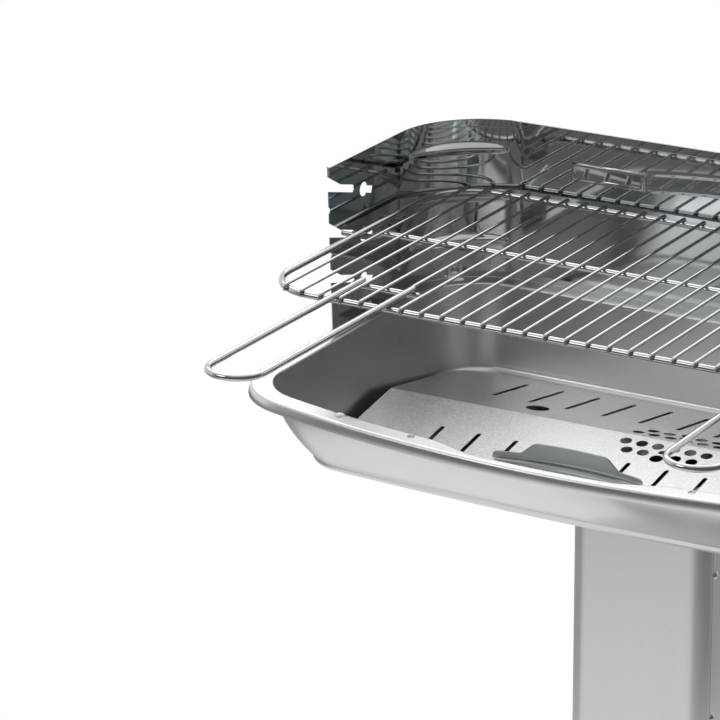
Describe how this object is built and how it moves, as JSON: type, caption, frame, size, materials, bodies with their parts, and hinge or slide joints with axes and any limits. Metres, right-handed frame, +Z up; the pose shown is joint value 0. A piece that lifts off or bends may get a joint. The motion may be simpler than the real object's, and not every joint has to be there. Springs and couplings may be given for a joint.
{
  "type": "charcoal grill",
  "caption": "Charcoal grill with a bow-fronted fire pan on a steel column, a notched windshield, a long-handled wire cooking grid, a perforated charcoal plate and an ash drawer.",
  "frame": {"origin": "on the ground under the middle of the column", "axes": "+Z up, -Y towards the cook (the pan's bowed front and the grid's handles), +X to the cook's right when facing the back of the grill"},
  "size_m": [0.6802, 0.6, 0.8906],
  "materials": {
    "pan_steel": "satin pressed stainless sheet",
    "mirror_sheet": "bright mirror sheet",
    "galvanised_sheet": "dull zinc-coated sheet with fine grain",
    "tab_steel": "smooth blue-grey sheet",
    "chromed_wire": "bright chromed wire",
    "screw_steel": "bright zinc",
    "column_steel": "satin stainless sheet",
    "bracket_steel": "zinc-coated sheet",
    "base_steel": "satin pressed sheet",
    "foot_rubber": "black rubber",
    "knob_plastic": "black heat-proof plastic"
  },
  "bodies": {
    "stand": {"fire_pan": "pan_steel", "rim_screws": "screw_steel", "rim_nuts": "screw_steel", "windshield": "mirror_sheet", "windshield_screws": "screw_steel", "windshield_nuts": "screw_steel", "column_front": "column_steel", "column_rear": "column_steel", "column_seam_screws": "screw_steel", "column_top_flange": "bracket_steel", "pan_bolts": "screw_steel", "column_foot_flange": "bracket_steel", "base_bolts": "screw_steel", "base_plate": "base_steel", "base_feet": "foot_rubber", "drawer_rails": "bracket_steel"},
    "cooking_grid": {"grid_frame": "chromed_wire", "grid_wires": "chromed_wire", "grid_support_bar": "chromed_wire", "grid_tie_wires": "chromed_wire", "grid_handle_left": "chromed_wire", "grid_handle_right": "chromed_wire"},
    "charcoal_tray": {"charcoal_plate": "galvanised_sheet", "plate_lift_tab": "tab_steel"},
    "drawer": {"ash_drawer": "galvanised_sheet", "drawer_front": "column_steel", "drawer_knob": "knob_plastic"}
  },
  "joints": [
    {"name": "grid_draw", "type": "slide", "parent": "stand", "child": "cooking_grid", "axis": [0, -0.9636, 0.2672], "range_m": [0, 0.3]},
    {"name": "plate_lift", "type": "slide", "parent": "stand", "child": "charcoal_tray", "axis": [0, 0, 1], "range_m": [0, 0.06]},
    {"name": "drawer_slide", "type": "slide", "parent": "stand", "child": "drawer", "axis": [0, -1, 0], "range_m": [0, 0.07]}
  ]
}
